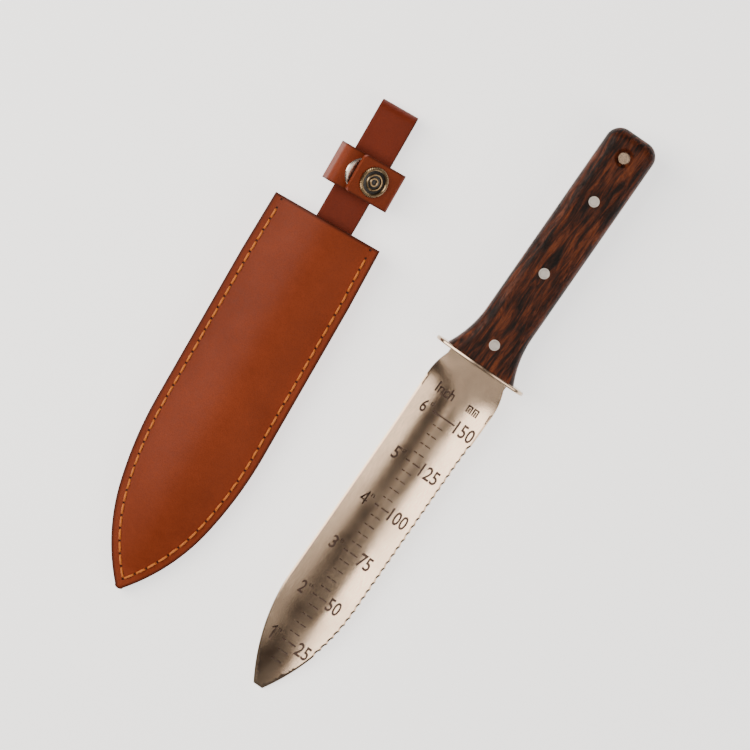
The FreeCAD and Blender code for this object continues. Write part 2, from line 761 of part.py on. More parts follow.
def make_seam(label, level, height, up):
    seam = seam_line()
    count = round(seam.Length / value("stitch_pitch")) + 1
    points = seam.discretize(Number=count)
    bars = []
    for side in (1, -1):
        row = [Vector(point.x * side, point.y, 0) for point in points]
        bars += [stitch(first, last, level, height, up) for first, last in zip(row, row[1:-1])]
    return thread_node(label, bars)


def make_strap_seam():
    """The box of stitches that holds both legs of the belt strap, on its outer face."""
    half = value("strap_half - 2.5")
    middle = value("strap_centre")
    low, high = value("-strap_sewn + 3"), value("-sewn_end - 3")
    corners = [Vector(middle - half, low, 0), Vector(middle + half, low, 0),
               Vector(middle + half, high, 0), Vector(middle - half, high, 0)]
    bars = []
    for first, last in zip(corners, corners[1:] + corners[:1]):
        count = round((last - first).Length / value("stitch_pitch"))
        points = [first + (last - first) * (step / count) for step in range(count + 1)]
        for here, there in zip(points, points[1:]):
            bars.append(stitch(here, there, value("-2 * strap_leather"), value("thread_height"), False))
    return thread_node("strap_thread", bars)


def thread_node(label, bars):
    node = doc.addObject("Part::Feature", label)
    node.Shape = Part.makeCompound(bars)
    return node


# ---- pieces and their places ----

def own(x="0", y="0", z="0", turn=None):
    return Placement(Vector(value(x), value(y), value(z)), turn or Rotation())


plate_top = "plate_thickness / 2"
flip_over = Rotation(Vector(0, 1, 0), 180)
knife = [
    (make_blade(), own()),
    (make_guard(), own()),
    (make_scale("scale_front"), own(z=plate_top)),
    (make_scale("scale_back"), own(z=f"-{plate_top}", turn=flip_over)),
]
for name in ("front", "middle", "rear"):
    knife.append((make_pin(f"rivet_{name}"), own(y=f"pin_{name}")))

right_fold = own("strap_centre + keeper_right", "keeper_place", "fold_radius",
                 Rotation(Vector(0, 0, 1), 180) * Rotation(Vector(0, 1, 0), -value("flap_slope")))
left_fold = own("strap_centre - keeper_left", "keeper_place", "fold_radius")
cap_corner, cap_turn = cap_flap_frame()
on_cap_flap = left_fold * Placement(cap_corner, cap_turn)
on_cap_flap = on_cap_flap * Placement(Vector(value("cap_place"), 0, value("strap_leather")), Rotation())
on_socket_flap = right_fold * own(f"{flap_start()} + snap_place", "0", "fold_inner + strap_leather")

sheath = [
    (make_back_panel(), own()),
    (make_welt(), own()),
    (make_front_panel(), own()),
    (make_seam("front_thread", value("2 * leather + welt_thickness"), value("thread_height"), True), own()),
    (make_seam("back_thread", 0, value("back_thread_height"), False), own()),
    (make_belt_strap(), own()),
    (make_strap_seam(), own()),
    (make_keeper_base(), own()),
    (make_keeper_rivet(), own("strap_centre", "keeper_place")),
    (make_socket_flap(), right_fold),
    (make_snap_socket(), on_socket_flap),
    (make_snap_spring(), on_socket_flap),
    (make_snap_post(), on_socket_flap),
    (make_cap_flap_drilled(), left_fold),
    (make_snap_cap(), on_cap_flap),
    (make_snap_stud(), on_cap_flap),
]
doc.recompute()

# the knife rests on its guard's rim and its tip, the sheath on its belt loop and its tip
knife_tilt = math.degrees(math.atan2(value("guard_half_height - plate_thickness / 2"),
                                     value("blade_length - guard_thickness / 2")))
loop_depth = value("2 * strap_leather + belt_gap")
sheath_tilt = math.degrees(math.atan2(loop_depth, value("sheath_length + gap_slope - sewn_end")))
knife_place = Placement(Vector(), Rotation(Vector(1, 0, 0), knife_tilt))
sheath_place = Placement(Vector(-value("sheath_across"), value("sheath_along"), 0),
                         Rotation(Vector(0, 0, 1), value("sheath_turn"))
                         * Rotation(Vector(1, 0, 0), sheath_tilt))

box = FreeCAD.BoundBox()
for pieces, place in ((knife, knife_place), (sheath, sheath_place)):
    for piece, spot in pieces:
        piece.Placement = place * spot
    floor = min(piece.Shape.optimalBoundingBox(False).ZMin for piece, spot in pieces)
    for piece, spot in pieces:
        piece.Placement = Placement(Vector(0, 0, -floor), Rotation()) * piece.Placement
        box.add(piece.Shape.optimalBoundingBox(False))

# the origin is under the middle of the two together
middle = Placement(Vector(-box.Center.x, -box.Center.y, -box.ZMin), Rotation())
nodes = [piece for piece, spot in knife + sheath]
for piece in nodes:
    piece.Placement = middle * piece.Placement
doc.recompute()

for item in doc.Objects:
    if "Invalid" in item.State or "Error" in item.State:
        raise RuntimeError(f"{item.Label} failed: {item.State}")
for piece in nodes:
    if piece.Shape.isNull() or not piece.Shape.isValid() or not piece.Shape.Solids:
        raise RuntimeError(f"{piece.Label} is not a sound solid")
for piece in nodes:
    piece.Shape.exportStep(f"parts/{piece.Label}.step")
    extent = piece.Shape.BoundBox
    print(f"{piece.Label}: {len(piece.Shape.Solids)} solid, {piece.Shape.Volume:.0f} mm3,"
          f" {extent.XLength:.1f} x {extent.YLength:.1f} x {extent.ZLength:.1f}")
print(f"whole: {box.XLength:.1f} x {box.YLength:.1f} x {box.ZLength:.1f}")
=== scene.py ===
import json
import math
import random
import bpy
from mathutils import Matrix, Vector


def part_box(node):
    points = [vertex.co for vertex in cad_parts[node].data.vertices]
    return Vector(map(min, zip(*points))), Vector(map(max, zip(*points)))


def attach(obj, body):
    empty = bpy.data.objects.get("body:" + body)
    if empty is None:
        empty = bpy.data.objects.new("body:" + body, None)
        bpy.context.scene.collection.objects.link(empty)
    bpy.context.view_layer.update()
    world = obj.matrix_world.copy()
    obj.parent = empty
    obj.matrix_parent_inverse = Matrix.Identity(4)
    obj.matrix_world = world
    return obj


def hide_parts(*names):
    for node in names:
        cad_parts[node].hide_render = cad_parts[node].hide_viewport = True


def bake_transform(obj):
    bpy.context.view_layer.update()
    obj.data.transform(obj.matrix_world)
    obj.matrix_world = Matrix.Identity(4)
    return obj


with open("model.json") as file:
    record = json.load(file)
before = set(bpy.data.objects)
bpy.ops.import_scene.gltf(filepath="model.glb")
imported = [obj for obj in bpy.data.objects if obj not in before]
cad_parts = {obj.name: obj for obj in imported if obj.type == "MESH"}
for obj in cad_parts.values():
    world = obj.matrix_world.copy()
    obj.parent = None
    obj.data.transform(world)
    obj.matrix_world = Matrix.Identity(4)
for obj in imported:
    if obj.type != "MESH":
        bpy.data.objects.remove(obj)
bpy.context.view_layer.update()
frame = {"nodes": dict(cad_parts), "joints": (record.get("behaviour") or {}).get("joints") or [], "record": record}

random.seed(7)
joints = {joint["name"]: joint for joint in frame["joints"]}
mounts = {mount["name"]: mount for mount in frame["record"]["mounts"]}
mm = 0.001


# the knife's and the sheath's own axes, in the row's frame

def axesAt(origin, xWay, yWay, zWay):
    turn = Matrix((xWay, yWay, zWay)).transposed().to_4x4()
    return Matrix.Translation(origin) @ turn


low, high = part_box("guard")
knifeUp = Vector(mounts["lanyard_hole"]["axis"]).normalized()
knifeAlong = knifeUp.cross(Vector((1, 0, 0)))
knifeSpot = (low + high) / 2
knifeAxes = axesAt(knifeSpot, Vector((1, 0, 0)), knifeAlong, knifeUp)

# sizes that the two leather groups share, in millimetres
sheath = {
    "leather": 2.4, "welt": 2.5, "strapLeather": 2.0, "beltGap": 5.6,
    "strapCentre": 3.0, "strapHalf": 9.25, "strapReach": 61.5, "strapSewn": 30.0,
    "keeperPlace": 26.0, "keeperWidth": 19.0, "keeperLeft": 12.6, "keeperRight": 14.6,
    "foldHeight": 3.0,
}
sheathAlong = Vector(joints["socket_flap_fold"]["axis"]).normalized()
sheathAcross = Vector((sheathAlong.y, -sheathAlong.x, 0)).normalized()
sheathUp = sheathAcross.cross(sheathAlong)
foldSpot = Vector(joints["socket_flap_fold"]["pos_m"])
sheathSpot = foldSpot - mm * ((sheath["strapCentre"] + sheath["keeperRight"]) * sheathAcross
                              + sheath["keeperPlace"] * sheathAlong + sheath["foldHeight"] * sheathUp)
sheathAxes = axesAt(sheathSpot, sheathAcross, sheathAlong, sheathUp)


# wraps a node's output so that Python's operators add Math nodes
class Socket:
    def __init__(self, tree, output):
        self.tree = tree
        self.output = output

    def maths(self, operation, *values):
        return self.tree.add("ShaderNodeMath", {"operation": operation}, dict(enumerate(values)))

    def __add__(self, other):
        return self.maths("ADD", self, other)

    def __radd__(self, other):
        return self.maths("ADD", other, self)

    def __sub__(self, other):
        return self.maths("SUBTRACT", self, other)

    def __rsub__(self, other):
        return self.maths("SUBTRACT", other, self)

    def __mul__(self, other):
        return self.maths("MULTIPLY", self, other)

    def __rmul__(self, other):
        return self.maths("MULTIPLY", other, self)


# one material: its Principled node, and a method that adds any other node
class Shader:
    def __init__(self, name):
        self.material = bpy.data.materials.new(name)
        self.material.use_nodes = True
        self.nodes = self.material.node_tree.nodes
        self.links = self.material.node_tree.links
        self.surface = self.nodes["Principled BSDF"]

    def add(self, kind, settings=None, values=None, output=0):
        node = self.nodes.new(kind)
        for name, setting in (settings or {}).items():
            if name == "stops":
                self.setStops(node.color_ramp, setting)
            else:
                setattr(node, name, setting)
        for name, value in (values or {}).items():
            self.feed(node.inputs[name], value)
        return Socket(self, node.outputs[output])

    def setStops(self, ramp, stops):
        while len(ramp.elements) < len(stops):
            ramp.elements.new(1)
        for element, (place, colour) in zip(ramp.elements, stops):
            element.position = place
            element.color = colour if len(colour) == 4 else (*colour, 1)

    def feed(self, target, value):
        if isinstance(value, Socket):
            self.links.new(value.output, target)
        elif hasattr(target, "default_value") and target.type == "RGBA" and len(value) == 3:
            target.default_value = (*value, 1)
        else:
            target.default_value = value

    def paint(self, **values):
        for name, value in values.items():
            self.feed(self.surface.inputs[name.replace("_", " ")], value)

    # object coordinates, turned to a piece's own axes, in millimetres
    def along(self, axes):
        place = self.add("ShaderNodeTexCoord", output="Object")
        settled = self.add("ShaderNodeMapping", {"vector_type": "TEXTURE"},
                           {"Vector": place, "Location": axes.translation, "Rotation": axes.to_euler()})
        return self.add("ShaderNodeVectorMath", {"operation": "SCALE"}, {0: settled, "Scale": 1 / mm})

    def stretch(self, place, scale):
        return self.add("ShaderNodeVectorMath", {"operation": "MULTIPLY"}, {0: place, 1: scale})

    def noise(self, place, scale, detail=3, rough=0.5, distort=0):
        return self.add("ShaderNodeTexNoise", {}, {"Vector": place, "Scale": scale, "Detail": detail,
                                                   "Roughness": rough, "Distortion": distort})

    def cells(self, place, scale):
        return self.add("ShaderNodeTexVoronoi", {}, {"Vector": place, "Scale": scale}, output="Distance")

    def ramp(self, factor, *stops):
        return self.add("ShaderNodeValToRGB", {"stops": stops}, {"Fac": factor})

    def span(self, value, fromLow, fromHigh, toLow=0.0, toHigh=1.0):
        return self.add("ShaderNodeMapRange", {"clamp": True}, {
            "Value": value, "From Min": fromLow, "From Max": fromHigh, "To Min": toLow, "To Max": toHigh})

    def mix(self, factor, first, second):
        return self.add("ShaderNodeMix", {"data_type": "RGBA"},
                        {0: factor, 6: first, 7: second}, output=2)

    def bump(self, height, strength, distance):
        return self.add("ShaderNodeBump", {}, {"Height": height, "Strength": strength, "Distance": distance})


# a colour as seen on screen, 0 to 255, as the linear values that nodes take
def rgb(red, green, blue):
    return tuple((part / 255 / 12.92) if part < 10.3 else ((part / 255 + 0.055) / 1.055) ** 2.4
                 for part in (red, green, blue))


steelLook = {"light": rgb(212, 190, 166), "dark": rgb(176, 152, 130), "roughness": 0.19}


def bladeSteel():
    shader = Shader("bladeSteel")
    place = shader.along(knifeAxes)
    brushed = shader.noise(shader.stretch(place, (14.0, 0.35, 14.0)), 1.0, 4, 0.6)
    smudges = shader.noise(place, 0.045, 3)
    tone = shader.span(brushed, 0.3, 0.7)
    colour = shader.mix(tone, steelLook["dark"], steelLook["light"])
    rough = shader.span(smudges, 0.3, 0.7, steelLook["roughness"] - 0.05, steelLook["roughness"] + 0.07)
    shader.paint(Base_Color=colour, Metallic=1.0, Roughness=rough + (brushed - 0.5) * 0.08,
                 Normal=shader.bump(brushed, 0.12, 0.00003))
    return shader.material


def engravedSteel():
    shader = Shader("engravedSteel")
    place = shader.along(knifeAxes)
    grit = shader.noise(place, 2.2, 3)
    colour = shader.mix(shader.span(grit, 0.3, 0.7), rgb(66, 50, 44), rgb(98, 78, 68))
    shader.paint(Base_Color=colour, Metallic=0.6, Roughness=shader.span(grit, 0.3, 0.7, 0.5, 0.7))
    return shader.material


def pinSteel():
    shader = Shader("pinSteel")
    place = shader.along(knifeAxes)
    fine = shader.noise(place, 6.0, 3)
    colour = shader.mix(shader.span(fine, 0.3, 0.7), rgb(214, 208, 200), rgb(236, 232, 226))
    shader.paint(Base_Color=colour, Metallic=1.0, Roughness=shader.span(fine, 0.3, 0.7, 0.28, 0.4),
                 Normal=shader.bump(fine, 0.1, 0.00003))
    return shader.material


def scaleWood():
    shader = Shader("scaleWood")
    place = shader.along(knifeAxes)
    wander = shader.noise(shader.stretch(place, (0.12, 0.03, 0.12)), 1.0, 2)
    bent = shader.add("ShaderNodeVectorMath", {"operation": "ADD"},
                      {0: place, 1: shader.stretch(wander, (5.0, 0.0, 5.0))})
    figure = shader.noise(shader.stretch(bent, (0.5, 0.06, 0.45)), 1.0, 5, 0.62, 0.5)
    colour = shader.ramp(figure, (0.34, rgb(15, 10, 9)), (0.44, rgb(38, 20, 14)), (0.53, rgb(74, 34, 19)),
                         (0.66, rgb(116, 58, 31)), (0.8, rgb(140, 78, 46)))
    pores = shader.noise(shader.stretch(bent, (5.0, 0.32, 5.0)), 1.0, 3, 0.6)
    poreMask = shader.span(pores, 0.52, 0.66)
    colour = shader.mix(poreMask * 0.75, colour, rgb(20, 13, 11))
    shader.paint(Base_Color=colour, Roughness=shader.span(figure, 0.3, 0.7, 0.42, 0.34) + poreMask * 0.25,
                 Normal=shader.bump(poreMask * -1.0 + figure * 0.25, 0.5, 0.00012))
    shader.surface.inputs["Specular IOR Level"].default_value = 0.14
    return shader.material


# smooth dyed leather with fine grain, painted darker in the grain's hollows as painted shade; a piece's own edge
# attribute darkens its burnished rim
def leatherLook(name, light, dark, edge, roughness):
    shader = Shader(name)
    place = shader.along(sheathAxes)
    cloud = shader.noise(place, 0.035, 3)
    mottle = shader.noise(place, 0.35, 4, 0.6)
    patches = shader.span(cloud, 0.3, 0.7) * 0.75 + shader.span(mottle, 0.3, 0.7) * 0.25
    colour = shader.mix(patches, dark, light)
    pebble = shader.cells(place, 1.5)
    creases = shader.noise(place, 2.6, 4, 0.65)
    relief = pebble * 0.6 + creases * 0.8
    rim = shader.add("ShaderNodeAttribute", {"attribute_name": "edge"}, output="Fac")
    # the grain's low spots, where the bump sinks, are painted darker in the rim colour: painted shade in its
    # hollows
    colour = shader.mix(shader.span(relief, 0.35, 0.75, 0.22, 0.0), colour, edge)
    colour = shader.mix(rim * 0.85, colour, edge)
    shader.paint(Base_Color=colour,
                 Roughness=shader.span(mottle, 0.3, 0.7, roughness - 0.05, roughness + 0.06),
                 Normal=shader.bump(relief, 0.3, 0.00012))
    shader.surface.inputs["Specular IOR Level"].default_value = 0.11
    return shader.material


# raw cut edge of leather: fibrous and matt
def cutLeather(light, dark):
    shader = Shader("leatherEdge")
    place = shader.along(sheathAxes)
    fibres = shader.noise(place, 2.0, 5, 0.7)
    shader.paint(Base_Color=shader.mix(shader.span(fibres, 0.3, 0.7), dark, light), Roughness=0.75,
                 Normal=shader.bump(fibres, 0.6, 0.0002))
    return shader.material


def waxedThread():
    shader = Shader("waxedThread")
    place = shader.along(sheathAxes)
    fuzz = shader.noise(place, 3.0, 3)
    shader.paint(Base_Color=shader.mix(shader.span(fuzz, 0.3, 0.7), rgb(176, 84, 8), rgb(226, 130, 22)),
                 Roughness=shader.span(fuzz, 0.3, 0.7, 0.5, 0.65), Normal=shader.bump(fuzz, 0.4, 0.0001))
    shader.surface.inputs["Sheen Weight"].default_value = 0.2
    return shader.material


def nickel(name, tone, roughness):
    shader = Shader(name)
    place = shader.along(sheathAxes)
    haze = shader.noise(place, 0.9, 4)
    colour = shader.mix(shader.span(haze, 0.3, 0.7), tuple(part * 0.82 for part in tone), tone)
    shader.paint(Base_Color=colour, Metallic=1.0,
                 Roughness=shader.span(haze, 0.3, 0.7, roughness, roughness + 0.12),
                 Normal=shader.bump(haze, 0.15, 0.0001))
    return shader.material


# flat black for the socket's groove, the floor inside its ring and its bore: painted shade standing in for the
# shade in these hollows
def blackEnamel():
    shader = Shader("blackEnamel")
    place = shader.along(sheathAxes)
    haze = shader.noise(place, 2.0, 3)
    shader.paint(Base_Color=shader.mix(haze, rgb(20, 17, 16), rgb(34, 29, 27)),
                 Roughness=shader.span(haze, 0.3, 0.7, 0.3, 0.45))
    return shader.material


looks = {
    "blade": bladeSteel(), "engraved": engravedSteel(), "pin": pinSteel(), "wood": scaleWood(),
    "panel": leatherLook("panelLeather", rgb(138, 60, 33), rgb(118, 48, 24), rgb(60, 21, 11), 0.45),
    "strap": leatherLook("strapLeather", rgb(118, 46, 27), rgb(100, 37, 21), rgb(56, 20, 11), 0.5),
    "keeper": leatherLook("keeperLeather", rgb(132, 58, 33), rgb(114, 45, 24), rgb(66, 25, 13), 0.5),
    "edge": cutLeather(rgb(112, 54, 30), rgb(66, 26, 14)),
    "thread": waxedThread(),
    "nickel": nickel("nickelPlate", rgb(222, 214, 204), 0.2),
    # a darker, brass-tinted copy of the nickel, used for the socket
    "darkerNickel": nickel("darkerNickelPlate", rgb(150, 128, 98), 0.24),
    "paintedShade": blackEnamel(),
}
print("materials made")


# modelling helpers; pieces are shaped in millimetres on their group's axes

def alone(piece):
    if bpy.context.object and bpy.context.object.mode != "OBJECT":
        bpy.ops.object.mode_set(mode="OBJECT")
    bpy.ops.object.select_all(action="DESELECT")
    piece.select_set(True)
    bpy.context.view_layer.objects.active = piece


# goes into edit mode with the vertices, edges or faces that pass the test selected
def edit(piece, kind, wanted=None):
    alone(piece)
    mesh = piece.data
    parts = {"VERT": mesh.vertices, "EDGE": mesh.edges, "FACE": mesh.polygons}
    bpy.ops.object.mode_set(mode="EDIT")
    bpy.ops.mesh.select_mode(type=kind)
    bpy.ops.mesh.select_all(action="DESELECT" if wanted else "SELECT")
    if wanted:
        bpy.ops.object.mode_set(mode="OBJECT")
        for part in parts[kind]:
            part.select = bool(wanted(part))
        bpy.ops.object.mode_set(mode="EDIT")


def done():
    bpy.ops.object.mode_set(mode="OBJECT")


# a flat plate: an n-gon whose corners go to the outline, extruded to its thickness
def plate(name, outline, low, high):
    bpy.ops.object.select_all(action="DESELECT")
    bpy.ops.mesh.primitive_circle_add(vertices=len(outline), radius=1, fill_type="NGON")
    piece = bpy.context.object
    piece.name = name
    for vertex, place in zip(piece.data.vertices, outline):
        vertex.co = (place[0], place[1], low)
    edit(piece, "FACE")
    bpy.ops.mesh.extrude_region_move(TRANSFORM_OT_translate={"value": (0, 0, high - low)})
    bpy.ops.mesh.select_all(action="SELECT")
    bpy.ops.mesh.normals_make_consistent(inside=False)
    done()
    return piece


# cuts new edge loops across the piece at each place along an axis
def addLoops(piece, axis, places):
    alone(piece)
    bpy.ops.object.mode_set(mode="EDIT")
    normal = [1.0 if number == axis else 0.0 for number in range(3)]
    for place in places:
        bpy.ops.mesh.select_all(action="SELECT")
        bpy.ops.mesh.bisect(plane_co=[place * part for part in normal], plane_no=normal)
    done()


def steps(first, last, pitch):
    count = max(1, round(abs((last - first) / pitch)))
    return [first + (last - first) * number / count for number in range(count + 1)]


# points of an arc between two angles in degrees
def arc(centre, radius, first, last, count):
    return [(centre[0] + radius * math.cos(math.radians(angle)),
             centre[1] + radius * math.sin(math.radians(angle)))
            for angle in steps(first, last, (last - first) / count)]


def roundEdges(piece, wanted, width, segments=3):
    edit(piece, "EDGE", wanted)
    bpy.ops.mesh.bevel(offset=width, segments=segments, affect="EDGES", clamp_overlap=True)
    done()


def isLevel(piece, edge):
    return len({round(piece.data.vertices[number].co.z, 3) for number in edge.vertices}) == 1


def reshape(piece, rule):
    for vertex in piece.data.vertices:
        vertex.co = rule(vertex.co)


def cut(piece, cutter, messy=False):
    alone(piece)
    modifier = piece.modifiers.new("cut", "BOOLEAN")
    modifier.object = cutter
    modifier.operation = "DIFFERENCE"
    modifier.solver = "EXACT"
    modifier.material_mode = "TRANSFER"
    modifier.use_self = messy
    bpy.ops.object.modifier_apply(modifier=modifier.name)
    piece.data.validate()
    bpy.data.objects.remove(cutter)


def join(name, pieces):
    alone(pieces[0])
    for piece in pieces:
        piece.select_set(True)
    bpy.ops.object.join()
    bpy.context.object.name = name
    return bpy.context.object


def box(low, high):
    middle = [(first + last) / 2 for first, last in zip(low, high)]
    bpy.ops.object.select_all(action="DESELECT")
    size = [last - first for first, last in zip(low, high)]
    bpy.ops.mesh.primitive_cube_add(size=1, location=middle, scale=size)
    bpy.ops.object.transform_apply()
    return bpy.context.object


def copied(piece, matrix):
    twin = piece.copy()
    twin.data = piece.data.copy()
    bpy.context.collection.objects.link(twin)
    twin.data.transform(matrix)
    return twin


# a piece spun about Z from a closed (radius, height) profile
def turnedPiece(name, profile, count=64):
    bpy.ops.object.select_all(action="DESELECT")
    bpy.ops.mesh.primitive_circle_add(vertices=len(profile), radius=1, fill_type="NOTHING")
    piece = bpy.context.object
    piece.name = name
    for vertex, (radius, height) in zip(piece.data.vertices, profile):
        vertex.co = (radius, 0, height)
    edit(piece, "EDGE")
    bpy.ops.mesh.spin(steps=count, angle=2 * math.pi, center=(0, 0, 0), axis=(0, 0, 1))
    bpy.ops.mesh.select_all(action="SELECT")
    bpy.ops.mesh.remove_doubles(threshold=0.0001)
    bpy.ops.mesh.normals_make_consistent(inside=False)
    done()
    return piece


# puts a finished piece in the row's frame, gives it its look and lets it ride on its body
def settle(piece, axes, body, material, nodes, smooth=35):
    alone(piece)
    piece.data.transform(axes @ Matrix.Scale(mm, 4))
    bpy.ops.object.shade_smooth_by_angle(angle=math.radians(smooth))
    if material:
        piece.data.materials.append(material)
    if body:
        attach(piece, body)
    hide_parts(*nodes)


def dressNode(node, material):
    target = frame["nodes"][node]
    target.data.materials.clear()
    target.data.materials.append(material)


# camera, light and floor

view = {"across": -36.9, "along": -30.9, "height": 1800, "span": 342.5}
cameraRight = Vector((0.8219, 0.5696, 0))
cameraUp = Vector((-cameraRight.y, cameraRight.x, 0))
bpy.ops.object.camera_add()
camera = bpy.context.object
camera.matrix_world = axesAt(knifeSpot + Vector((view["across"], view["along"], view["height"])) * mm,
                             cameraRight, cameraUp, Vector((0, 0, 1)))
camera.data.sensor_width = 36
camera.data.lens = 36 * view["height"] / view["span"]
camera.data.clip_end = 10
bpy.context.scene.camera = camera

bpy.ops.mesh.primitive_plane_add(size=6, location=(0, 0, 0))
floor = bpy.context.object
floor.name = "floor"
floorShader = Shader("paleFloor")
floorShader.paint(Base_Color=rgb(248, 248, 247), Roughness=0.9, Emission_Color=(1, 1, 1),
                  Emission_Strength=1.5)
floor.data.materials.append(floorShader.material)


def softbox(name, place, size, power, colour):
    bpy.ops.object.light_add(type="AREA", location=place)
    light = bpy.context.object
    light.name = name
    light.data.shape = "RECTANGLE"
    light.data.size, light.data.size_y = size
    light.data.energy = power
    light.data.color = colour
    light.rotation_euler = Vector(place).to_track_quat("Z", "Y").to_euler()


# a dark card over the object, out of the camera's sight, that the steel mirrors
def card(name, place, size, colour):
    bpy.ops.mesh.primitive_plane_add(size=1, location=place)
    piece = bpy.context.object
    piece.name = name
    piece.scale = (*size, 1)
    look = Shader(name + "Paint")
    look.paint(Base_Color=colour, Roughness=0.9)
    piece.data.materials.append(look.material)


world = bpy.data.worlds.new("studio")
world.use_nodes = True
world.node_tree.nodes["Background"].inputs[0].default_value = (*rgb(240, 232, 224), 1)
world.node_tree.nodes["Background"].inputs[1].default_value = 0.2
bpy.context.scene.world = world
softbox("leftLight", (-0.82, -0.06, 1.1), (0.8, 1.6), 25, (1, 0.93, 0.84))
softbox("rightLight", (0.74, 0.0, 1.1), (0.52, 1.6), 8, (1, 0.9, 0.8))
card("rightCard", (0.275, 0, 1.15), (0.33, 1.5), rgb(30, 20, 17))
card("leftCard", (-0.14, 0, 1.15), (0.1, 1.5), rgb(64, 50, 44))
print("camera and light placed")


# blade, with its teeth and its stamped ruler

blade = {
    "length": 179, "half": 17.5, "tipHalf": 2.4, "pointStart": 125, "swell": 0.5, "shoulder": 15,
    "widening": 45, "neckHalf": 15.5, "neckLength": 3.5, "thickness": 2.6, "dishRadius": 60,
    "dishEnd": 24, "dishFade": 4, "toothFirst": 33, "toothLast": 153, "toothPitch": 4, "toothDepth": 0.65,
    "gripHalf": 12.2, "tangEnd": 126.2, "flareEnd": 24, "flareRadius": 51.3, "buttRadius": 6.7,
    "grindTop": 0.9, "grindTopDrop": 0.5, "grindBack": 2.0, "grindBackDrop": 1.5,
}
# the stamped ruler, in millimetres from the blade's middle and its guard
ruler = {
    "depth": 0.22, "line": 0.75, "tick": 0.6, "shift": 0.3,
    "figureTall": 6.9, "inchTall": 6.4, "inchWide": 2.9,
    "wideFigures": {"150": (6.9, 9.6), "125": (4.9, 9.2), "100": (4.9, 9.2)}, "narrowFigure": (4.9, 6.6),
    "inchLeft": -10.4, "lastInchLeft": -12.0, "marks": (0.8, 1.9), "markWidth": 0.5, "unitPlace": -18.5,
}
pointRadius = (((blade["half"] - blade["tipHalf"]) ** 2 + (blade["length"] - blade["pointStart"]) ** 2)
               / (2 * (blade["half"] - blade["tipHalf"])))


# half the blade's width at a distance below the guard
def bladeHalf(along):
    if along > blade["pointStart"]:
        return blade["half"] - pointRadius + math.sqrt(pointRadius ** 2 - (along - blade["pointStart"]) ** 2)
    if along > blade["widening"]:
        return blade["half"]
    grown = min((blade["widening"] - along) / (blade["widening"] - blade["shoulder"]), 1)
    neck = min(max((along - blade["neckLength"]) / (blade["shoulder"] + 2 - blade["neckLength"]), 0), 1)
    neck = 1 - (1 - neck) ** 2.2
    return blade["neckHalf"] + (blade["half"] + blade["swell"] * grown - blade["neckHalf"]) * neck


# the tang's right side, from the neck to the butt
def gripSide():
    centre = blade["gripHalf"] + blade["flareRadius"]
    sweep = math.degrees(math.acos((centre - blade["neckHalf"]) / blade["flareRadius"]))
    points = arc((centre, blade["flareEnd"]), blade["flareRadius"], 180 + sweep, 180, 10)
    corner = blade["buttRadius"]
    points += arc((blade["gripHalf"] - corner, blade["tangEnd"] - corner), corner, 0, 90, 8)
    return points


def toothedSide():
    points = []
    for along in steps(blade["length"], blade["neckLength"], 0.667):
        bite = 0
        if blade["toothFirst"] < along < blade["toothLast"]:
            share = ((along - blade["toothFirst"]) / blade["toothPitch"]) % 1
            bite = blade["toothDepth"] * (1 - (2 * share - 1) ** 2)
        points.append((bladeHalf(along) - bite, -along))
    return points


def plainSide():
    return [(bladeHalf(along), -along) for along in steps(blade["length"], blade["neckLength"], 1.5)]


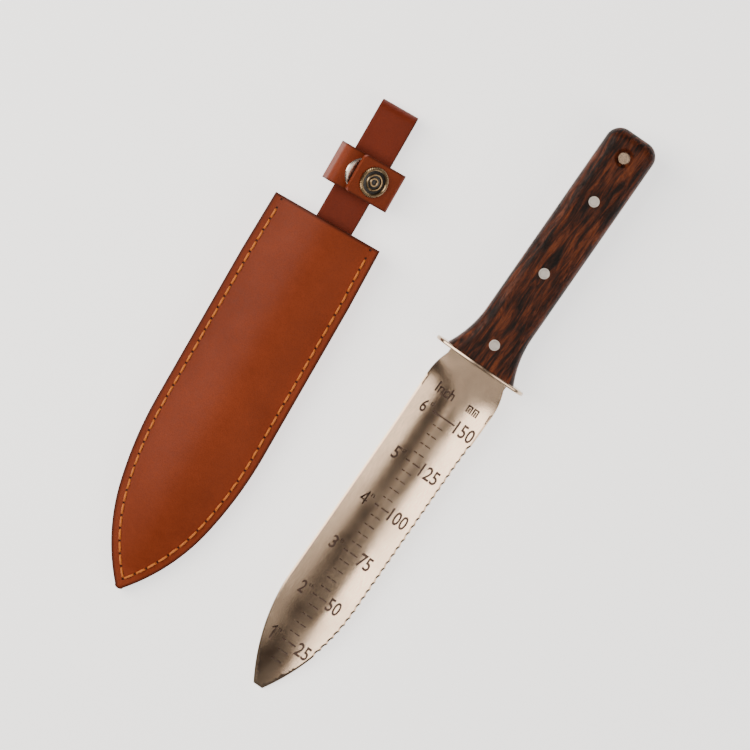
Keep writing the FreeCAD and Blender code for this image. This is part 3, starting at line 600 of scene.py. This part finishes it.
# the ruler's lines, figures and unit names, as one set of cutters
def engraving():
    top = blade["thickness"] / 2
    cutters = []

    def line(left, right, along, width=ruler["line"]):
        cutters.append(box((left, along - width / 2, top - ruler["depth"]),
                           (right, along + width / 2, top + 1)))

    def words(text, left, along, tall, wide):
        bpy.ops.object.select_all(action="DESELECT")
        bpy.ops.object.text_add()
        label = bpy.context.object
        label.data.body = text
        label.data.size = 10
        label.data.offset = 0.18
        label.data.extrude = 1
        label.data.resolution_u = 3
        bpy.ops.object.convert(target="MESH")
        label = bpy.context.object
        edit(label, "VERT")
        bpy.ops.mesh.remove_doubles(threshold=0.001)
        bpy.ops.mesh.normals_make_consistent(inside=False)
        done()
        spots = [vertex.co for vertex in label.data.vertices]
        low = [min(spot[axis] for spot in spots) for axis in range(2)]
        high = [max(spot[axis] for spot in spots) for axis in range(2)]
        for vertex in label.data.vertices:
            across = (vertex.co.x - low[0]) / (high[0] - low[0]) * wide
            up = (vertex.co.y - low[1]) / (high[1] - low[1]) * tall
            level = top - ruler["depth"] if vertex.co.z < 0 else top + 1
            vertex.co = (left + across, along - tall / 2 + up, level)
        cutters.append(label)

    # a figure of straight bars; its paths run over a unit square
    def strokes(left, along, tall, wide, *paths):
        for path in paths:
            for first, second in zip(path, path[1:]):
                first, second = (Vector((left + x * wide, along + (y - 0.5) * tall))
                                 for x, y in (first, second))
                run = (second - first).normalized() * ruler["line"] / 2
                side = Vector((-run.y, run.x))
                corners = [first - run - side, second + run - side, second + run + side, first - run + side]
                cutters.append(plate("bar", corners, top - ruler["depth"], top + 1))

    for step in range(15, 150, 5):
        along = step - blade["length"] - ruler["shift"]
        if step % 25:
            line(-2.3, -0.8, along, ruler["tick"])
            line(0.15, 2.9, along, ruler["tick"])
        else:
            line(-3.5, -1.3, along)
            line(0.15, 4.2, along)
    line(-5.9, 6.2, 150 - blade["length"] - ruler["shift"])
    for step in range(25, 151, 25):
        along = step - blade["length"] - ruler["shift"]
        left, wide = ruler["wideFigures"].get(str(step), ruler["narrowFigure"])
        words(str(step), left, along, ruler["figureTall"], wide)
        inch = step // 25
        left = ruler["lastInchLeft"] if inch == 6 else ruler["inchLeft"]
        if inch == 1:
            strokes(left + 0.8, along, 6.0, 1.4, [(0, 0.78), (1, 1), (1, 0)])
        elif inch == 4:
            strokes(left, along, 6.0, ruler["inchWide"], [(0.75, 0), (0.75, 1), (0, 0.3), (1, 0.3)])
        else:
            words(str(inch), left, along, ruler["inchTall"], ruler["inchWide"])
        for mark in ruler["marks"]:
            right = left + 3.2 + mark
            cutters.append(box((right - ruler["markWidth"], along + 1.7, top - ruler["depth"]),
                               (right, along + 3.3, top + 1)))
    words("Inch", -10.8, ruler["unitPlace"], 5.3, 9.6)
    for left in (6.6, 9.8):
        strokes(left, -19.2, 3.0, 2.0, [(0, 0), (0, 1), (1, 1), (1, 0)], [(0.5, 0), (0.5, 0.6)])
    cutter = join("engraving", cutters)
    cutter.data.materials.clear()
    cutter.data.materials.append(looks["engraved"])
    return cutter


# bends the flat blade to its hollow, which fades out before the guard
def dish(place):
    fade = min(max((-place.y - blade["dishFade"]) / (blade["dishEnd"] - blade["dishFade"]), 0), 1)
    fade = fade * fade * (3 - 2 * fade)
    radius = blade["dishRadius"]
    lift = radius - math.sqrt(radius ** 2 - min(abs(place.x), 30) ** 2)
    return Vector((place.x, place.y, place.z + lift * fade))


def spotOf(vertex):
    return round(vertex.co.x, 3), round(vertex.co.y, 3)


def makeBlade():
    side = toothedSide() + gripSide()
    other = [(-x, y) for x, y in plainSide() + gripSide()]
    half = blade["thickness"] / 2
    piece = plate("bladePlate", side + other[::-1], -half, half)
    piece.data.materials.append(looks["blade"])
    for level, width, drop in ((half, blade["grindTop"], -blade["grindTopDrop"]),
                               (-half, blade["grindBack"], blade["grindBackDrop"])):
        rim = {spotOf(vertex) for vertex in piece.data.vertices if vertex.co.y < -blade["shoulder"] - 1}
        edit(piece, "FACE", lambda face: len(face.vertices) > 50 and abs(face.center.z - level) < 0.01)
        bpy.ops.mesh.inset(thickness=width, depth=0)
        done()
        for vertex in piece.data.vertices:
            if abs(vertex.co.z - level) < 0.01 and spotOf(vertex) in rim:
                vertex.co.z += drop
    addLoops(piece, 0, steps(-16.5, 16.5, 1.0))
    addLoops(piece, 1, [step + 2.2 - blade["length"] for step in range(5, 150, 5)])
    addLoops(piece, 1, steps(1.3 - blade["length"], 19.1 - blade["length"], 1.62))
    addLoops(piece, 1, steps(-blade["dishEnd"], -blade["dishFade"] + 1, 1.25))
    cut(piece, engraving(), messy=True)
    reshape(piece, dish)
    edit(piece, "VERT")
    bpy.ops.mesh.remove_doubles(threshold=0.0005)
    done()
    settle(piece, knifeAxes, "knife", None, ["blade"], 30)


makeBlade()
print("blade made")


# guard

guard = {"half": 23.7, "halfHeight": 12.2, "endRadius": 9, "thickness": 1.8, "rounding": 0.55,
         "slotHalf": 15.65, "slotHalfHeight": 1.45}


def makeGuard():
    rise = guard["halfHeight"] - guard["endRadius"]
    run = guard["half"] - guard["endRadius"]
    below = (run ** 2 - rise ** 2) / (2 * rise)
    longRadius = below + guard["halfHeight"]
    lean = math.degrees(math.atan2(below, run))
    outline = arc((run, 0), guard["endRadius"], -lean, lean, 16)
    outline += arc((0, -below), longRadius, lean, 180 - lean, 28)[1:]
    outline += arc((-run, 0), guard["endRadius"], 180 - lean, 180 + lean, 16)[1:]
    outline += arc((0, below), longRadius, 180 + lean, 360 - lean, 28)[1:-1]
    half = guard["thickness"] / 2
    piece = plate("guardPlate", outline, -half, half)
    roundEdges(piece, lambda edge: isLevel(piece, edge), guard["rounding"])
    across, up = guard["slotHalf"], guard["slotHalfHeight"]
    slot = box((-across, -up, -3), (across, up, 3))
    slot.data.materials.append(looks["engraved"])
    piece.data.materials.append(looks["blade"])
    cut(piece, slot)
    stand = Matrix.Rotation(math.radians(90), 4, "X")
    piece.data.transform(stand)
    settle(piece, knifeAxes, "knife", None, ["guard"])


makeGuard()
for node in ("scale_front", "scale_back"):
    dressNode(node, looks["wood"])
for node in ("rivet_front", "rivet_middle", "rivet_rear"):
    dressNode(node, looks["pin"])
print("guard and handle dressed")


# sheath panels

panel = {
    "half": 28, "mouthHalf": 27.3, "mouthTaper": 30, "shoulder": 108, "waist": 150, "waistHalf": 23.3,
    "sideRadius": 190, "pointRadius": 96.2, "tip": 193.5, "tipRadius": 3,
    "pocketHalf": 19, "pocketRadius": 105.1, "pointStart": 125,
    "crown": 4.6, "crownWidth": 24.5, "edgeRound": 0.45, "rim": 1.1,
    "seamInset": 4.0, "seamStart": 6, "stitchPitch": 5.95, "stitchLength": 5.0, "threadRadius": 0.52,
    "holeRadius": 0.62, "holeDepth": 0.9, "firstHole": 1.6, "frontRise": 0.32, "backRise": 0.02,
}


# points of an arc that turns left from one point to another
def bulge(first, last, radius, count):
    chord = (Vector(last) - Vector(first))
    left = Vector((-chord.y, chord.x)).normalized()
    reach = math.sqrt(max(radius ** 2 - (chord.length / 2) ** 2, 0))
    centre = (Vector(first) + Vector(last)) / 2 + left * reach
    angles = [math.degrees(math.atan2(end[1] - centre.y, end[0] - centre.x)) for end in (first, last)]
    return arc(centre, radius, angles[0], angles[1], count)


# the right side of the panels, from the tip's arc up to the mouth
def panelSide(pitch=3.0):
    tipEdge = (panel["tipRadius"] * 0.7, -(panel["tip"] - panel["tipRadius"] * 0.45))
    waist = (panel["waistHalf"], -panel["waist"])
    points = bulge(tipEdge, waist, panel["pointRadius"], round(48 / pitch))
    points += bulge(waist, (panel["half"], -panel["shoulder"]), panel["sideRadius"], round(42 / pitch))[1:]
    points += [(panel["half"], y) for y in steps(-panel["shoulder"], -panel["mouthTaper"], 6)[1:]]
    points += [(panel["mouthHalf"], 0)]
    return points


def panelOutline():
    side = panelSide()
    centre = (0, -(panel["tip"] - panel["tipRadius"]))
    tip = arc(centre, panel["tipRadius"], 218, 322, 8)
    return tip[1:-1] + side + [(-x, y) for x, y in side[::-1]]


# how far the front is pushed out over the hollow
def bump(x, y):
    half = panel["pocketHalf"]
    if -y > panel["pointStart"]:
        fall = min(-y - panel["pointStart"], panel["pocketRadius"])
        half += math.sqrt(panel["pocketRadius"] ** 2 - fall ** 2) - panel["pocketRadius"]
    share = max(half, 0) / panel["pocketHalf"]
    spread = max(panel["crownWidth"] * (0.25 + 0.75 * share), 0.1)
    return panel["crown"] * share * max(1 - (x / spread) ** 2, 0) ** 1.7


# equally spaced stitch holes down the right seam, from below the mouth to the tip
def seamPoints():
    side = [Vector(point) for point in panelSide(1.0)][::-1]
    line = []
    for number, point in enumerate(side[:-1]):
        run = (side[number + 1] - point).normalized()
        line.append(point + Vector((run.y, -run.x)) * panel["seamInset"])
    line = [point for point in line if point.x > 0 and point.y < -panel["seamStart"]]
    line.insert(0, Vector((panel["mouthHalf"] - panel["seamInset"], -panel["seamStart"])))
    last, before = line[-1], line[-2]
    run = last - before
    line.append(last - run * (last.x / run.x))
    lengths = [0]
    for first, second in zip(line, line[1:]):
        lengths.append(lengths[-1] + (second - first).length)
    count = round(lengths[-1] / panel["stitchPitch"])
    points = []
    number = 0
    for step in range(count + 1):
        goal = lengths[-1] * step / count
        while number < len(line) - 2 and lengths[number + 1] < goal:
            number += 1
        share = (goal - lengths[number]) / (lengths[number + 1] - lengths[number])
        points.append(line[number].lerp(line[number + 1], share))
    return points


seam = seamPoints()
seams = [seam, [Vector((-point.x, point.y)) for point in seam]]


# marks the burnished rim, for the leather's shader
def rimAttribute(piece, wanted):
    marks = piece.data.attributes.new("edge", "FLOAT", "POINT")
    for number, vertex in enumerate(piece.data.vertices):
        marks.data[number].value = 1.0 if wanted(vertex.co) else 0.0


# a test for places within a margin of a closed outline
def onRim(outline, margin):
    ends = [(Vector(first), Vector(second)) for first, second in zip(outline, outline[1:] + outline[:1])]

    def near(place):
        spot = Vector((place.x, place.y))
        for first, second in ends:
            run = second - first
            share = min(max((spot - first).dot(run) / run.length_squared, 0), 1)
            if (spot - first - run * share).length < margin:
                return True
        return False
    return near


# cutters for the stitch holes
def awls(points, low, high):
    cutters = []
    for point in points:
        bpy.ops.object.select_all(action="DESELECT")
        bpy.ops.mesh.primitive_cylinder_add(vertices=8, radius=panel["holeRadius"], depth=high - low,
                                            location=(point.x, point.y, (low + high) / 2))
        cutters.append(bpy.context.object)
        bpy.ops.object.transform_apply()
    cutter = join("awls", cutters)
    cutter.data.materials.append(looks["edge"])
    return cutter


def leatherPlate(name, low, high, face, crowned):
    outline = panelOutline()
    piece = plate(name, outline, low, high)
    level = high if face > 0 else low
    roundEdges(piece, lambda edge: all(abs(piece.data.vertices[number].co.z - level) < 0.01
                                       for number in edge.vertices), panel["edgeRound"], 3)
    edit(piece, "FACE", lambda flat: len(flat.vertices) > 40 and abs(flat.center.z - level) < 0.01)
    bpy.ops.mesh.inset(thickness=panel["rim"], depth=0)
    done()
    rimAttribute(piece, onRim(outline, panel["edgeRound"] + 0.2))
    addLoops(piece, 0, steps(-26, 26, 2.0))
    addLoops(piece, 1, steps(-186, -6, 5.0))
    piece.data.materials.append(looks["panel"])
    points = seams[0] + seams[1][:-1]
    beside = panel["mouthHalf"] - panel["seamInset"]
    extra = [Vector((side * beside, -panel["firstHole"])) for side in (-1, 1)]
    inner, outer = level - panel["holeDepth"] * face, level + face
    # the lower leather comes out of the plain cut empty, so its holes take the slower one
    cut(piece, awls(points + extra, min(inner, outer), max(inner, outer)), messy=face < 0)
    if crowned:
        reshape(piece, lambda spot: Vector((spot.x, spot.y, spot.z + bump(spot.x, spot.y))))
    return piece


leather, welt = sheath["leather"], sheath["welt"]
front = leatherPlate("frontLeather", leather + welt, 2 * leather + welt, 1, True)
settle(front, sheathAxes, "sheath", None, ["front_panel"], 40)
back = leatherPlate("backLeather", 0, leather, -1, False)
settle(back, sheathAxes, "sheath", None, ["back_panel"], 40)
dressNode("welt", looks["edge"])
print("panels made")


# a twisted stitch along X, arched between two holes it dips into
def oneStitch(rise):
    length = panel["stitchLength"]
    bpy.ops.object.select_all(action="DESELECT")
    bpy.ops.mesh.primitive_cylinder_add(vertices=8, radius=1, depth=length, end_fill_type="NGON",
                                        rotation=(0, math.radians(90), 0))
    piece = bpy.context.object
    bpy.ops.object.transform_apply()
    addLoops(piece, 0, [length * (number / 9 - 0.5) for number in range(1, 9)])

    def twist(spot):
        share = spot.x / length + 0.5
        around = math.atan2(spot.z, spot.y)
        swell = 1 + 0.13 * math.cos(2 * around - share * 14)
        radius = panel["threadRadius"] * swell
        arch = rise * (1 - abs(2 * share - 1) ** 3.5 * 2.6)
        return Vector((spot.x, math.cos(around) * radius, math.sin(around) * radius * 0.85 + arch))
    reshape(piece, twist)
    return piece


# lays one stitch between each two neighbouring holes
def sew(name, runs, rise, level, up):
    model = oneStitch(rise)
    stitches = []
    for first, second in runs:
        run = (second - first)
        middle = (first + second) / 2
        ends = [level(first), level(second)]
        along = Vector((run.x, run.y, ends[1] - ends[0])).normalized()
        above = Vector((0, 0, up))
        across = above.cross(along).normalized()
        turn = Matrix((along, across, along.cross(across))).transposed().to_4x4()
        place = Matrix.Translation((middle.x, middle.y, sum(ends) / 2)) @ turn
        stitches.append(copied(model, place @ Matrix.Rotation(random.uniform(-0.3, 0.3), 4, "X")
                               @ Matrix.Diagonal((run.length / panel["stitchPitch"], 1, 1, 1))))
    bpy.data.objects.remove(model)
    return join(name, stitches)


runs = [pair for line in seams for pair in zip(line, line[1:])]
frontTop = 2 * leather + welt
thread = sew("frontStitches", runs, panel["frontRise"], lambda spot: frontTop + bump(spot.x, spot.y), 1)
settle(thread, sheathAxes, "sheath", looks["thread"], ["front_thread"], 60)
thread = sew("backStitches", runs, panel["backRise"], lambda spot: 0.1, -1)
settle(thread, sheathAxes, "sheath", looks["thread"], ["back_thread"], 60)
print("seams sewn")

# belt strap

strap = {"edgeRound": 0.4, "slopeStart": 4, "slopeLength": 12, "seamMargin": 2.5, "stitchRise": 0.2}


# a leather strip: a line of (across, up) points given a thickness, then extruded from low to high
def ribbon(name, line, thickness, low, high):
    sides = ([], [])
    for number, point in enumerate(line):
        before = line[max(number - 1, 0)]
        after = line[min(number + 1, len(line) - 1)]
        run = (Vector(after) - Vector(before)).normalized()
        out = Vector((-run.y, run.x)) * thickness / 2
        sides[0].append(Vector(point) + out)
        sides[1].append(Vector(point) - out)
    return plate(name, sides[1] + sides[0][::-1], low, high)


# the strap's middle line, from the upper leg's sewn end round the fold to the lower leg's
def beltLine():
    thick = sheath["strapLeather"]
    under = 2 * thick + sheath["beltGap"]
    centre = (sheath["strapReach"] - under / 2, -under / 2)
    line = [(y, -thick / 2) for y in steps(-sheath["strapSewn"], centre[0], 4)]
    line += arc(centre, (under - thick) / 2, 90, -90, 14)[1:]
    low = -under + thick / 2
    line += [(y, low) for y in steps(centre[0], strap["slopeLength"] - strap["slopeStart"], 4)[1:]]
    for step in range(1, 11):
        share = step / 10
        ease = share * share * (3 - 2 * share)
        line.append((strap["slopeLength"] * (1 - share) - strap["slopeStart"],
                     low + (-thick * 1.5 - low) * ease))
    line += [(y, -thick * 1.5) for y in steps(-strap["slopeStart"], -sheath["strapSewn"], 4)[1:]]
    return line


standing = Matrix(((0, 0, 1, 0), (1, 0, 0, 0), (0, 1, 0, 0), (0, 0, 0, 1)))
belt = ribbon("beltLeather", beltLine(), sheath["strapLeather"], sheath["strapCentre"] - sheath["strapHalf"],
              sheath["strapCentre"] + sheath["strapHalf"])
rims = [sheath["strapCentre"] - sheath["strapHalf"], sheath["strapCentre"] + sheath["strapHalf"]]
roundEdges(belt, lambda edge: isLevel(belt, edge), strap["edgeRound"])
rimAttribute(belt, lambda spot: min(abs(spot.z - rims[0]), abs(spot.z - rims[1])) < 0.3)
addLoops(belt, 2, steps(rims[0] + 1.2, rims[1] - 1.2, 2.7))
belt.data.transform(standing)
settle(belt, sheathAxes, "sheath", looks["strap"], ["belt_strap"], 40)

boxHalf = sheath["strapHalf"] - strap["seamMargin"]
boxLow, boxHigh = 3 - sheath["strapSewn"], -strap["slopeStart"] - 3
corners = [(-boxHalf, boxLow), (boxHalf, boxLow), (boxHalf, boxHigh), (-boxHalf, boxHigh)]
corners = [Vector((x + sheath["strapCentre"], y)) for x, y in corners]
boxRuns = []
for first, second in zip(corners, corners[1:] + corners[:1]):
    count = round((second - first).length / panel["stitchPitch"])
    spots = [first.lerp(second, step / count) for step in range(count + 1)]
    boxRuns += list(zip(spots, spots[1:]))
thread = sew("strapStitches", boxRuns, strap["stitchRise"], lambda spot: -2 * sheath["strapLeather"], -1)
settle(thread, sheathAxes, "sheath", looks["thread"], ["strap_thread"], 60)
print("belt strap made")


# keeper, each half one strip that bends at its fold

keeper = {
    "foldInner": 1.17, "clearance": 3.09, "socketSlope": 30, "socketLength": 18.6, "wallSlope": 75,
    "wallEnd": 9.3, "bendInner": 1.5, "capLength": 16.6, "capSlope": 30, "cornerRadius": 2.2,
    "edgeRound": 0.35, "blendStart": 2.0, "blendEnd": 4.2,
}


def along(angle, distance, centre=(0, 0)):
    turn = math.radians(angle)
    return (centre[0] + math.cos(turn) * distance, centre[1] + math.sin(turn) * distance)


# points that carry a line on from its start, without the start
def runOn(start, angle, length, pitch=1.5):
    return [along(angle, distance, start) for distance in steps(0, length, pitch)[1:]]


def socketLine():
    thick = sheath["strapLeather"]
    fold = (sheath["strapCentre"] + sheath["keeperRight"], sheath["foldHeight"])
    line = [(x, thick / 2) for x in steps(sheath["strapCentre"], fold[0], 2)]
    line += arc(fold, keeper["foldInner"] + thick / 2 - 0.1, -80, 90 - keeper["socketSlope"], 14)
    start = along(90 - keeper["socketSlope"], keeper["foldInner"] + thick / 2, fold)
    return line + runOn(start, 180 - keeper["socketSlope"], keeper["clearance"] + keeper["socketLength"])


def capLine():
    thick = sheath["strapLeather"]
    fold = (sheath["strapCentre"] - sheath["keeperLeft"], sheath["foldHeight"])
    line = [(x, thick / 2) for x in steps(sheath["strapCentre"], fold[0], 2)]
    line += arc(fold, keeper["foldInner"] + thick / 2 - 0.1, 260, 90 + keeper["wallSlope"], 10)
    start = along(90 + keeper["wallSlope"], keeper["foldInner"] + thick / 2, fold)
    line += runOn(start, keeper["wallSlope"], keeper["wallEnd"])
    bend = along(keeper["wallSlope"], keeper["wallEnd"], fold)
    bend = along(90 + keeper["wallSlope"], keeper["foldInner"] - keeper["bendInner"], bend)
    middle = keeper["bendInner"] + thick / 2
    line += arc(bend, middle, 90 + keeper["wallSlope"], 90 - keeper["capSlope"], 10)[1:]
    return line + runOn(line[-1], -keeper["capSlope"], keeper["capLength"])


# the strip's line runs across and up, and the keeper's width along the sheath
lying = Matrix(((1, 0, 0, 0), (0, 0, 1, 0), (0, 1, 0, 0), (0, 0, 0, 1)))
keeperLow = sheath["keeperPlace"] - sheath["keeperWidth"] / 2
keeperHigh = sheath["keeperPlace"] + sheath["keeperWidth"] / 2


def makeKeeper(name, line, nodes):
    tip = Vector(line[-1])
    # the last straight stretch is one long face, so its corners can be rounded
    clear = keeper["cornerRadius"] + 0.4
    line = [point for point in line if (Vector(point) - tip).length > clear] + [line[-1]]
    piece = ribbon(name, line, sheath["strapLeather"], keeperLow, keeperHigh)
    edit(piece, "EDGE", lambda edge: isLevel(piece, edge) and all(
        (Vector(piece.data.vertices[number].co[:2]) - tip).length < 1.2 for number in edge.vertices))
    bpy.ops.mesh.bevel(offset=keeper["cornerRadius"], segments=5, affect="EDGES", clamp_overlap=False)
    done()
    levels = (keeperLow, keeperHigh)

    def onSide(edge):
        ends = [piece.data.vertices[number].co for number in edge.vertices]
        return (abs(ends[0].x - sheath["strapCentre"]) > 0.01
                and any(all(abs(end.z - level) < 0.01 for end in ends) for level in levels))
    roundEdges(piece, onSide, keeper["edgeRound"])
    addLoops(piece, 2, steps(keeperLow + 1.2, keeperHigh - 1.2, 2.8))
    rimAttribute(piece, lambda spot: min(abs(spot.z - level) for level in levels) < 0.3)
    piece.data.transform(lying)
    edit(piece, "FACE")
    bpy.ops.mesh.normals_make_consistent(inside=False)
    done()
    settle(piece, sheathAxes, None, looks["keeper"], nodes, 40)
    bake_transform(piece)


makeKeeper("keeperSocketStrip", socketLine(), ["keeper_socket_flap", "keeper_base"])
makeKeeper("keeperCapStrip", capLine(), ["keeper_cap_flap"])
print("keeper made")


# press stud

socket = {
    "radius": 7.3, "height": 1.5, "notches": 44, "notchDepth": 0.28, "place": 11.49, "top": 3.17,
    "innerRadius": 4.1, "eyeRadius": 2.2, "bore": 1.3,
}


# the socket's own axes: its middle on the flap's upper face, square to the flap
def socketAxes():
    slope = math.radians(keeper["socketSlope"])
    across = sheath["strapCentre"] + sheath["keeperRight"]
    fold = Vector((across, sheath["keeperPlace"], sheath["foldHeight"]))
    run = Vector((-math.cos(slope), 0, math.sin(slope)))
    up = Vector((math.sin(slope), 0, math.cos(slope)))
    spot = fold + run * socket["place"] + up * socket["top"]
    turn = Matrix((-run, Vector((0, 1, 0)), up)).transposed().to_4x4()
    return sheathAxes @ Matrix.Translation(spot * mm) @ turn


def makeSocket():
    wide, tall = socket["radius"], socket["height"]
    rim = turnedPiece("socketRim", [
        (wide - 0.2, 0), (wide, 0.25), (wide, tall - 0.65), (wide - 0.25, tall - 0.25), (wide - 0.7, tall),
        (wide - 1.3, tall), (wide - 1.7, tall - 0.3), (wide - 1.8, tall - 0.9), (wide - 1.8, 0)], 176)

    def knurl(spot):
        out = math.hypot(spot.x, spot.y)
        if out < wide - 1.0:
            return spot.copy()
        wave = 0.5 - 0.5 * math.cos(math.atan2(spot.y, spot.x) * socket["notches"])
        scale = 1 - socket["notchDepth"] * wave / out
        drop = 0.12 * wave if spot.z > tall - 0.5 else 0
        return Vector((spot.x * scale, spot.y * scale, spot.z - drop))
    reshape(rim, knurl)
    rim.data.materials.append(looks["darkerNickel"])
    inner = socket["innerRadius"]
    # the groove inside the rim is a black ring: painted shade
    well = turnedPiece("socketWell", [(wide - 1.7, 0.05), (wide - 1.7, 0.45), (inner - 0.3, 0.75),
                                      (inner - 0.3, 0.05)], 48)
    well.data.materials.append(looks["paintedShade"])
    ring = turnedPiece("socketRing", [(inner, 0.3), (inner, tall - 0.35), (inner - 0.3, tall - 0.05),
                                      (inner - 0.75, tall - 0.1), (inner - 0.95, tall - 0.5),
                                      (inner - 0.95, 0.3)], 64)
    ring.data.materials.append(looks["darkerNickel"])
    eye, bore = socket["eyeRadius"], socket["bore"]
    # the floor between the inner ring and the eye is black: painted shade
    floorRing = turnedPiece("socketFloor", [(inner - 0.8, 0.05), (inner - 0.8, 0.5), (eye - 0.1, 0.35),
                                            (eye - 0.1, 0.05)], 48)
    floorRing.data.materials.append(looks["paintedShade"])
    tube = turnedPiece("socketEye", [
        (bore, -2.5), (bore, 0.75), (bore + 0.2, 0.95), (eye - 0.25, 0.95), (eye, 0.7), (eye, 0.1),
        (1.75, 0.05), (1.75, -2.0), (4.0, -2.02), (4.2, -2.3), (3.9, -2.5)], 48)
    tube.data.materials.append(looks["darkerNickel"])
    # a black disc down the eye's bore: painted shade where the hole is dark
    boreShade = turnedPiece("socketBoreShade", [(0, -0.1), (bore + 0.1, -0.1), (bore + 0.1, 0.15), (0, 0.15)], 32)
    boreShade.data.materials.append(looks["paintedShade"])
    piece = join("snapSocket", [rim, well, ring, floorRing, tube, boreShade])
    settle(piece, socketAxes(), "socket_flap", None,
           ["snap_socket", "snap_spring", "snap_post"], 40)


makeSocket()
for node in ("snap_cap", "snap_stud", "keeper_rivet"):
    dressNode(node, looks["nickel"])
print("press stud made")
